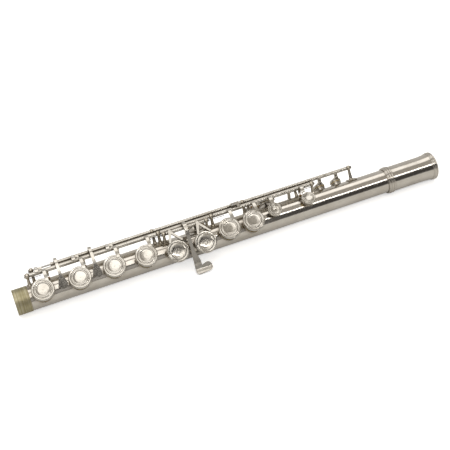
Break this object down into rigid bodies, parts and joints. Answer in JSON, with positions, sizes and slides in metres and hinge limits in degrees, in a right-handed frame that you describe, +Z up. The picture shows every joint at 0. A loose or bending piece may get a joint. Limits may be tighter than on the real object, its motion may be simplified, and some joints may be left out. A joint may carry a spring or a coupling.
{
  "type": "concert flute body joint",
  "caption": "Middle joint of a concert flute: plated tube with a tenon and a barrel, offset G keys, and sprung closed cups on rods and posts.",
  "frame": {"origin": "centre of the foot tenon's end face, on the bore's axis", "axes": "+X up the bore towards the head joint, +Z up as the joint lies on a table, resting on the G sharp touch, with the player's side of the keys towards +Y"},
  "size_m": [0.3656, 0.0447, 0.0371],
  "materials": {
    "plated_tube": "silver plate over nickel silver, polished, lightly worn",
    "plated_keywork": "silver plate over nickel silver, polished, tarnished in the grooves",
    "plated_fittings": "silver plate over nickel silver, duller beside the solder",
    "bare_nickel_silver": "bare nickel silver, satin, scratched round by the joint that slides on",
    "steel": "turned steel",
    "blued_spring": "blued spring steel",
    "pad_skin": "yellowed bladder skin over felt",
    "cork": "fine cork"
  },
  "bodies": {
    "tube_body": {"body_tube": "plated_tube", "foot_tenon_sleeve": "bare_nickel_silver", "barrel": "plated_tube", "barrel_junction_ring": "plated_tube", "barrel_rim_ring": "plated_tube", "right_hand_rib": "plated_fittings", "left_hand_rib": "plated_fittings", "g_key_strap": "plated_fittings", "thumb_strap": "plated_fittings", "trill_strap": "plated_fittings", "right_hand_posts": "plated_fittings", "left_hand_posts": "plated_fittings", "g_key_posts": "plated_fittings", "thumb_posts": "plated_fittings", "trill_posts": "plated_fittings", "left_hand_steel": "steel", "g_key_steel": "steel", "thumb_steel": "steel", "pivot_screws": "steel", "needle_springs": "blued_spring"},
    "d_key_body": {"d_key": "plated_keywork", "d_pad": "pad_skin", "d_bumper": "cork"},
    "e_key_body": {"e_key": "plated_keywork", "e_pad": "pad_skin", "e_bumper": "cork"},
    "f_key_body": {"f_key": "plated_keywork", "f_pad": "pad_skin", "f_bumper": "cork"},
    "f_sharp_key_body": {"f_sharp_key": "plated_keywork", "f_sharp_pad": "pad_skin", "f_sharp_bumper": "cork", "right_hand_steel": "steel", "clutch_collars": "plated_keywork", "clutch_screws": "steel"},
    "g_key_body": {"g_key": "plated_keywork", "g_pads": "pad_skin"},
    "g_sharp_key_body": {"g_sharp_key": "plated_keywork", "g_sharp_pad": "pad_skin"},
    "a_key_body": {"a_key": "plated_keywork", "a_pad": "pad_skin", "a_bumper": "cork"},
    "b_flat_key_body": {"b_flat_key": "plated_keywork", "b_flat_pad": "pad_skin", "b_flat_bumper": "cork", "b_flat_clutch_screw": "steel"},
    "c_key_body": {"c_key": "plated_keywork", "c_sharp_pad": "pad_skin", "c_bumper": "cork"},
    "thumb_b_key_body": {"thumb_b_key": "plated_keywork", "thumb_b_pad": "pad_skin"},
    "thumb_b_flat_lever_body": {"thumb_b_flat_lever": "plated_keywork", "thumb_lever_cork": "cork"},
    "d_trill_key_body": {"d_trill_key": "plated_keywork", "d_trill_pad": "pad_skin"},
    "d_sharp_trill_key_body": {"d_sharp_trill_touch": "plated_keywork", "d_sharp_trill_key": "plated_keywork", "d_sharp_trill_pad": "pad_skin", "trill_steel": "steel"}
  },
  "joints": [
    {"name": "d_key_swing", "type": "hinge", "parent": "tube_body", "child": "d_key_body", "pos_m": [0.036, 0.00452, 0.01788], "axis": [1, 0, 0], "range_deg": [0, 9], "stiffness_Nm_per_rad": 0.01, "springref_deg": -28.65},
    {"name": "e_key_swing", "type": "hinge", "parent": "tube_body", "child": "e_key_body", "pos_m": [0.065, 0.00452, 0.01788], "axis": [1, 0, 0], "range_deg": [0, 9], "stiffness_Nm_per_rad": 0.01, "springref_deg": -28.65},
    {"name": "f_key_swing", "type": "hinge", "parent": "tube_body", "child": "f_key_body", "pos_m": [0.088, 0.00452, 0.01788], "axis": [1, 0, 0], "range_deg": [0, 9], "stiffness_Nm_per_rad": 0.01, "springref_deg": -28.65},
    {"name": "f_sharp_key_swing", "type": "hinge", "parent": "tube_body", "child": "f_sharp_key_body", "pos_m": [0.107, 0.00452, 0.01788], "axis": [1, 0, 0], "range_deg": [0, 9], "stiffness_Nm_per_rad": 0.01, "springref_deg": -28.65},
    {"name": "g_key_swing", "type": "hinge", "parent": "tube_body", "child": "g_key_body", "pos_m": [0.142, 0.00051, 0.01852], "axis": [1, 0, 0], "range_deg": [0, 9], "stiffness_Nm_per_rad": 0.01, "springref_deg": -28.65},
    {"name": "g_sharp_key_swing", "type": "hinge", "parent": "tube_body", "child": "g_sharp_key_body", "pos_m": [0.142, 0.00452, 0.01788], "axis": [1, 0, 0], "range_deg": [0, 7], "stiffness_Nm_per_rad": 0.01, "springref_deg": -28.65},
    {"name": "a_key_swing", "type": "hinge", "parent": "tube_body", "child": "a_key_body", "pos_m": [0.178, 0.00452, 0.01788], "axis": [1, 0, 0], "range_deg": [0, 9], "stiffness_Nm_per_rad": 0.01, "springref_deg": -28.65},
    {"name": "b_flat_key_swing", "type": "hinge", "parent": "tube_body", "child": "b_flat_key_body", "pos_m": [0.197, 0.00452, 0.01788], "axis": [1, 0, 0], "range_deg": [0, 9], "stiffness_Nm_per_rad": 0.01, "springref_deg": -28.65},
    {"name": "c_key_swing", "type": "hinge", "parent": "tube_body", "child": "c_key_body", "pos_m": [0.228, 0.00452, 0.01788], "axis": [1, 0, 0], "range_deg": [0, 9], "stiffness_Nm_per_rad": 0.01, "springref_deg": -28.65},
    {"name": "thumb_b_key_swing", "type": "hinge", "parent": "tube_body", "child": "thumb_b_key_body", "pos_m": [0.216, 0.01126, 0.01255], "axis": [-1, 0, 0], "range_deg": [0, 11], "stiffness_Nm_per_rad": 0.01, "springref_deg": -28.65},
    {"name": "thumb_b_flat_lever_swing", "type": "hinge", "parent": "tube_body", "child": "thumb_b_flat_lever_body", "pos_m": [0.23, 0.01126, 0.01255], "axis": [-1, 0, 0], "range_deg": [0, 9], "stiffness_Nm_per_rad": 0.01, "springref_deg": -28.65},
    {"name": "d_trill_key_swing", "type": "hinge", "parent": "tube_body", "child": "d_trill_key_body", "pos_m": [0.164, 0.00919, 0.01815], "axis": [1, 0, 0], "range_deg": [0, 10], "stiffness_Nm_per_rad": 0.01, "springref_deg": -28.65},
    {"name": "d_sharp_trill_key_swing", "type": "hinge", "parent": "tube_body", "child": "d_sharp_trill_key_body", "pos_m": [0.164, 0.00919, 0.01815], "axis": [1, 0, 0], "range_deg": [0, 10], "stiffness_Nm_per_rad": 0.01, "springref_deg": -28.65}
  ]
}
